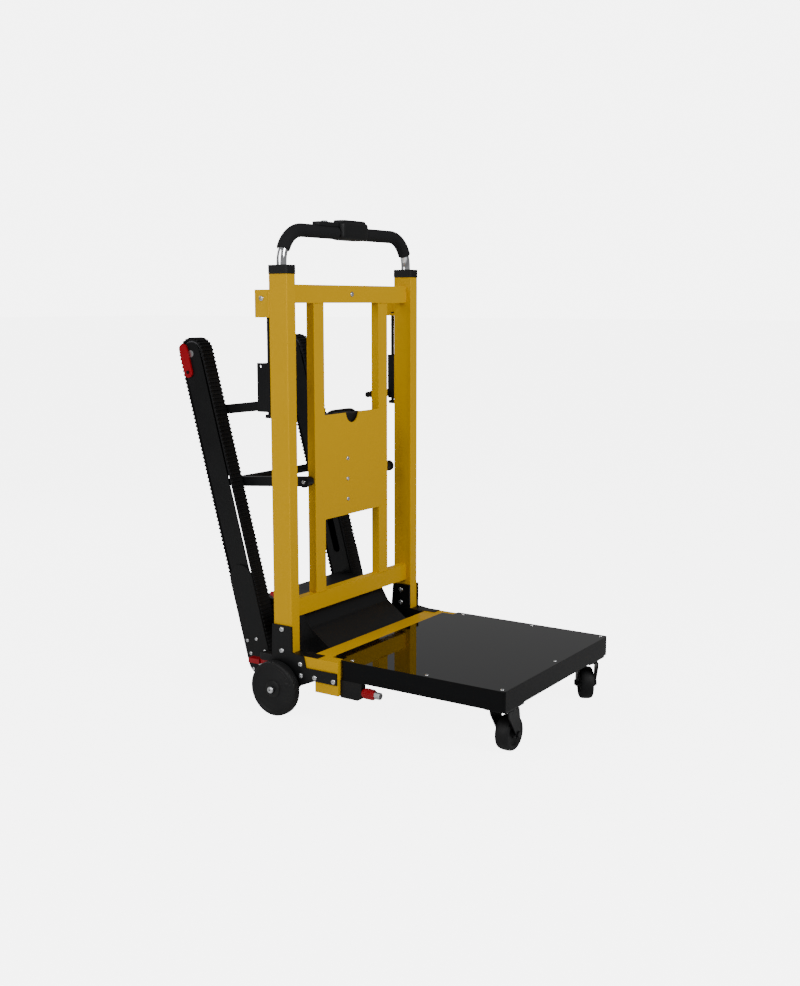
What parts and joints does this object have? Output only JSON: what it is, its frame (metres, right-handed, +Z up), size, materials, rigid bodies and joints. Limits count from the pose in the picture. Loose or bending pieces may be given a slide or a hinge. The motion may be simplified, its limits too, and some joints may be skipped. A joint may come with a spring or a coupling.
{
  "type": "stair climbing trolley",
  "caption": "Powered stair climbing hand truck: yellow tube frame, telescoping loop handle, folding load platform, folding toothed tracks, rear wheels and swivel casters",
  "frame": {"origin": "centre of the part's footprint on the floor", "axes": "X across the trolley, Y from the platform (-Y) to the tracks (+Y), Z up"},
  "size_m": [0.596, 0.9022, 1.101],
  "materials": {
    "yellow_coat": "semi-gloss powder coat",
    "black_coat": "satin black powder coat",
    "gloss_black": "mirror gloss black",
    "bright_steel": "bright zinc plated fasteners",
    "handle_chrome": "polished chrome",
    "grip_foam": "soft closed cell foam",
    "black_plastic": "fine matt grain",
    "grey_plastic": "light grey moulding",
    "cast_metal": "machined casting",
    "track_rubber": "moulded toothed rubber",
    "wheel_rubber": "solid rubber tread",
    "pad_rubber": "ribbed rubber",
    "red_plastic": "moulded red"
  },
  "bodies": {
    "frame": {"uprights": "yellow_coat", "crossbars": "yellow_coat", "stiles": "yellow_coat", "panel": "yellow_coat", "panel_screws": "bright_steel", "upright_caps": "black_plastic", "guide_lugs": "yellow_coat", "guide_rods": "black_coat", "arm_pivots": "black_coat", "motor_housing": "black_coat", "drive_unit": "grey_plastic", "wheel_bolts": "bright_steel", "gussets": "black_coat", "inner_plates": "black_coat", "frame_bolts": "bright_steel", "base_ends": "yellow_coat", "cross_beam": "yellow_coat", "arm_covers": "black_coat", "hinge_pin": "bright_steel", "lock_box": "black_coat", "battery_cradle": "black_coat", "bump_stop": "red_plastic"},
    "handle": {"handle_tube": "handle_chrome", "handle_foam": "grip_foam", "control_sleeve": "black_plastic"},
    "thumb": {"thumb_switch": "grey_plastic"},
    "battery_pack": {"battery": "black_plastic"},
    "carriage": {"carriages": "black_coat"},
    "upper_link": {"upper_arm": "black_coat"},
    "lower_arm_pair": {"lower_arms": "black_coat", "arm_cross_bar": "black_coat"},
    "track_left": {"track_plates_left": "black_coat", "belt_left": "track_rubber", "track_spacers_left": "bright_steel", "track_bolts_left": "bright_steel"},
    "track_right": {"track_plates_right": "black_coat", "belt_right": "track_rubber", "track_spacers_right": "bright_steel", "track_bolts_right": "bright_steel"},
    "idler_l": {"idler_left": "cast_metal"},
    "idler_r": {"idler_right": "cast_metal"},
    "lever_l": {"lever_left": "red_plastic"},
    "lever_r": {"lever_right": "red_plastic"},
    "drive": {"drive_shaft": "bright_steel", "drive_sprockets": "cast_metal"},
    "wheel_left": {"wheel_tyre_left": "wheel_rubber", "wheel_hub_left": "black_plastic"},
    "wheel_right": {"wheel_tyre_right": "wheel_rubber", "wheel_hub_right": "black_plastic"},
    "pedal": {"pedal_lever": "red_plastic", "pedal_pad": "pad_rubber"},
    "platform": {"platform_deck": "gloss_black", "platform_screws": "bright_steel", "caster_plates": "black_coat"},
    "plunger": {"plunger_knob": "red_plastic", "plunger_pin": "bright_steel"},
    "fork_left": {"caster_fork_left": "black_coat"},
    "fork_right": {"caster_fork_right": "black_coat"},
    "caster_left": {"caster_wheel_left": "wheel_rubber"},
    "caster_right": {"caster_wheel_right": "wheel_rubber"}
  },
  "joints": [
    {"name": "track_fold", "type": "hinge", "parent": "frame", "child": "track_left", "pos_m": [0, 0.21753, 0.092], "axis": [1, 0, 0], "range_deg": [0, 15.37]},
    {"name": "track_fold_right", "type": "hinge", "parent": "frame", "child": "track_right", "pos_m": [0, 0.21753, 0.092], "axis": [1, 0, 0], "range_deg": [-0.01, 15.38]},
    {"name": "lower_arm_swing", "type": "hinge", "parent": "frame", "child": "lower_arm_pair", "pos_m": [0, 0.11103, 0.516], "axis": [1, 0, 0], "range_deg": [-56.66, 0.1]},
    {"name": "carriage_slide", "type": "slide", "parent": "frame", "child": "carriage", "axis": [0, 0, 1], "range_m": [-0.0005, 0.095]},
    {"name": "upper_arm_swing", "type": "hinge", "parent": "carriage", "child": "upper_link", "pos_m": [0, 0.15903, 0.691], "axis": [1, 0, 0], "range_deg": [-67.58, 0.1]},
    {"name": "drive_spin", "type": "hinge", "parent": "frame", "child": "drive", "pos_m": [0, 0.21753, 0.092], "axis": [1, 0, 0], "continuous": true},
    {"name": "idler_spin_left", "type": "hinge", "parent": "track_left", "child": "idler_l", "pos_m": [-0.187, 0.41147, 0.79753], "axis": [1, 0, 0], "continuous": true},
    {"name": "idler_spin_right", "type": "hinge", "parent": "track_right", "child": "idler_r", "pos_m": [0.187, 0.41147, 0.79753], "axis": [1, 0, 0], "continuous": true},
    {"name": "lever_turn_left", "type": "hinge", "parent": "track_left", "child": "lever_l", "pos_m": [-0.2095, 0.41726, 0.75445], "axis": [1, 0, 0], "range_deg": [-90, 0]},
    {"name": "lever_turn_right", "type": "hinge", "parent": "track_right", "child": "lever_r", "pos_m": [0.2095, 0.41726, 0.75445], "axis": [1, 0, 0], "range_deg": [-90, 0]},
    {"name": "handle_lift", "type": "slide", "parent": "frame", "child": "handle", "axis": [0, 0, 1], "range_m": [0, 0.25]},
    {"name": "thumb_press", "type": "slide", "parent": "handle", "child": "thumb", "axis": [0, 0, -1], "range_m": [0, 0.0022], "stiffness_N_per_m": 800, "springref_m": -0.001},
    {"name": "battery_lift", "type": "slide", "parent": "frame", "child": "battery_pack", "axis": [0, 0, 1], "range_m": [0, 0.24]},
    {"name": "wheel_spin_left", "type": "hinge", "parent": "frame", "child": "wheel_left", "pos_m": [-0.276, 0.11803, 0.0625], "axis": [1, 0, 0], "continuous": true},
    {"name": "wheel_spin_right", "type": "hinge", "parent": "frame", "child": "wheel_right", "pos_m": [0.276, 0.11803, 0.0625], "axis": [1, 0, 0], "continuous": true},
    {"name": "pedal_press", "type": "hinge", "parent": "frame", "child": "pedal", "pos_m": [-0.235, 0.13103, 0.104], "axis": [1, 0, 0], "range_deg": [-14, 0], "stiffness_Nm_per_rad": 2, "springref_deg": 8.59},
    {"name": "platform_fold", "type": "hinge", "parent": "frame", "child": "platform", "pos_m": [0, -0.01997, 0.134], "axis": [-1, 0, 0], "range_deg": [0, 90]},
    {"name": "plunger_pull", "type": "slide", "parent": "frame", "child": "plunger", "axis": [0, -1, 0], "range_m": [0, 0.012], "stiffness_N_per_m": 1500, "springref_m": -0.002},
    {"name": "caster_swivel_left", "type": "hinge", "parent": "platform", "child": "fork_left", "pos_m": [-0.2, -0.42197, 0.097], "axis": [0, 0, 1], "continuous": true},
    {"name": "caster_swivel_right", "type": "hinge", "parent": "platform", "child": "fork_right", "pos_m": [0.2, -0.42197, 0.097], "axis": [0, 0, 1], "continuous": true},
    {"name": "caster_roll_left", "type": "hinge", "parent": "fork_left", "child": "caster_left", "pos_m": [-0.18, -0.42232, 0.0375], "axis": [-0.0175, -0.9998, 0], "continuous": true},
    {"name": "caster_roll_right", "type": "hinge", "parent": "fork_right", "child": "caster_right", "pos_m": [0.21668, -0.41093, 0.0375], "axis": [0.5519, -0.8339, 0], "continuous": true}
  ],
  "couplings": [
    {"joint": "track_fold_right", "follows": "track_fold", "ratio": 1},
    {"joint": "lower_arm_swing", "follows": "track_fold", "ratio": -3.6796},
    {"joint": "carriage_slide", "follows": "track_fold", "m_per_rad": 0.3467},
    {"joint": "upper_arm_swing", "follows": "track_fold", "ratio": -4.3903},
    {"joint": "idler_spin_left", "follows": "drive_spin", "ratio": 1},
    {"joint": "idler_spin_right", "follows": "drive_spin", "ratio": 1}
  ]
}
